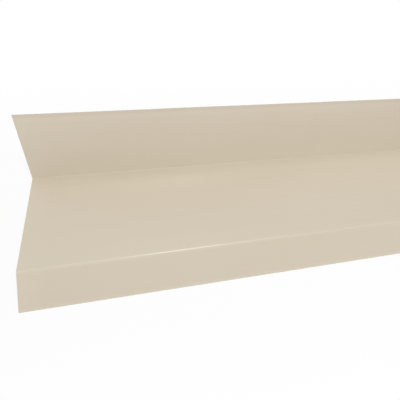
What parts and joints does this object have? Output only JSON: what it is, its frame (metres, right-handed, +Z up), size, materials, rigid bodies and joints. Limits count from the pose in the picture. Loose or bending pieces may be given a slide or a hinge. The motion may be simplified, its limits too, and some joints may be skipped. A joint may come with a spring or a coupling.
{
  "type": "wall abutment flashing",
  "caption": "Long folded sheet-steel flashing with a leaning wall leg, a wide roof leg and a turned-down lip, covering the joint where a roof meets a wall.",
  "frame": {"origin": "on the floor under the middle of the strip's box, as the strip lies at rest", "axes": "+X along the strip, +Y towards the wall behind the wall leg, +Z up"},
  "size_m": [2, 0.2902, 0.1128],
  "materials": {
    "coated_steel": "satin"
  },
  "bodies": {
    "root": {"flashing": "coated_steel"}
  },
  "joints": []
}
